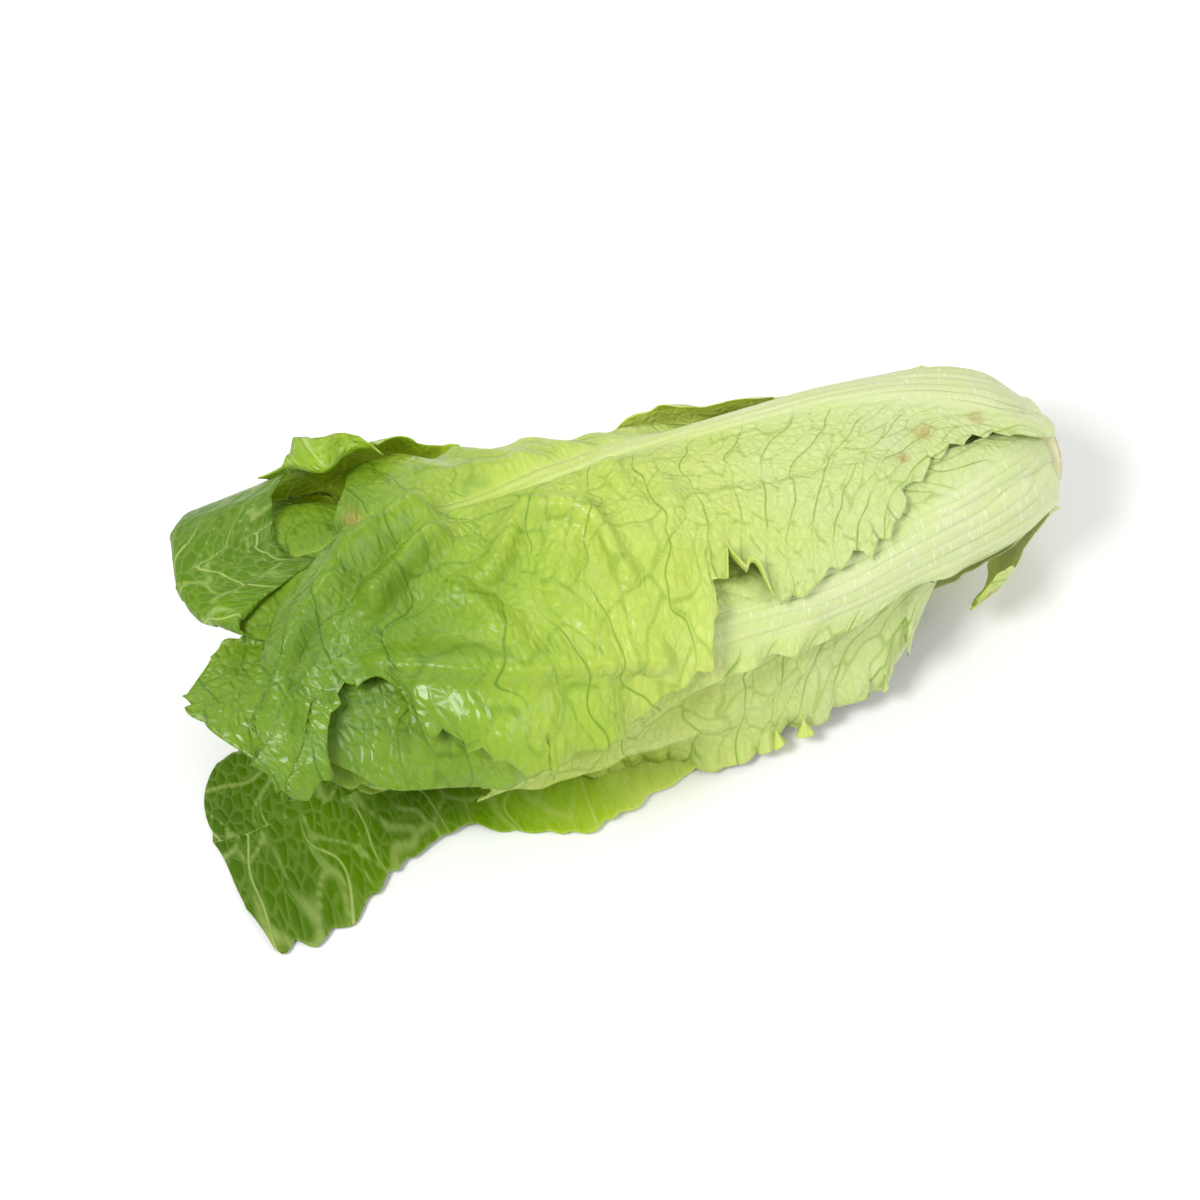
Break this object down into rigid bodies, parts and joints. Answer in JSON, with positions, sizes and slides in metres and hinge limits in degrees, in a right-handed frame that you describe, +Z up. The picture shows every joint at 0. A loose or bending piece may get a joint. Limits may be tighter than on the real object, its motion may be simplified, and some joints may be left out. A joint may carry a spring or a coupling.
{
  "type": "head of romaine lettuce",
  "caption": "Head of romaine lettuce lying on its side: broad ribbed outer leaves wrapped round a heart of smaller leaves on a short cut stem.",
  "frame": {"origin": "centre of the bounding box on the surface the head lies on", "axes": "+X along the head towards the cut butt of the stem, leaf tips at -X, +Z up, -Y is the front"},
  "size_m": [0.3088, 0.1362, 0.085],
  "materials": {
    "outer_leaf": "waxy fresh leaf, blistered between branching veins, pale white-green rib and mid to deep green blade",
    "middle_leaf": "fresh yellow-green leaf with a pale rib",
    "heart_leaf": "tender pale yellow-green leaf",
    "torn_leaf": "pale broken leaf base with a browned torn edge",
    "stem": "pale cut stem with a browned butt"
  },
  "bodies": {
    "root": {"stem": "stem", "torn_leaf": "torn_leaf", "top_leaf": "outer_leaf", "front_leaf": "outer_leaf", "front_low_leaf": "outer_leaf", "back_leaf": "outer_leaf", "back_low_leaf": "outer_leaf", "under_leaf": "outer_leaf", "near_tip_leaf": "outer_leaf", "far_tip_leaf": "outer_leaf", "middle_leaf_1": "middle_leaf", "middle_leaf_2": "middle_leaf", "middle_leaf_3": "middle_leaf", "middle_leaf_4": "middle_leaf", "middle_leaf_5": "middle_leaf", "middle_leaf_6": "middle_leaf", "heart_leaf_1": "heart_leaf", "heart_leaf_2": "heart_leaf", "heart_leaf_3": "heart_leaf", "heart_leaf_4": "heart_leaf", "heart_leaf_5": "heart_leaf"}
  },
  "joints": []
}
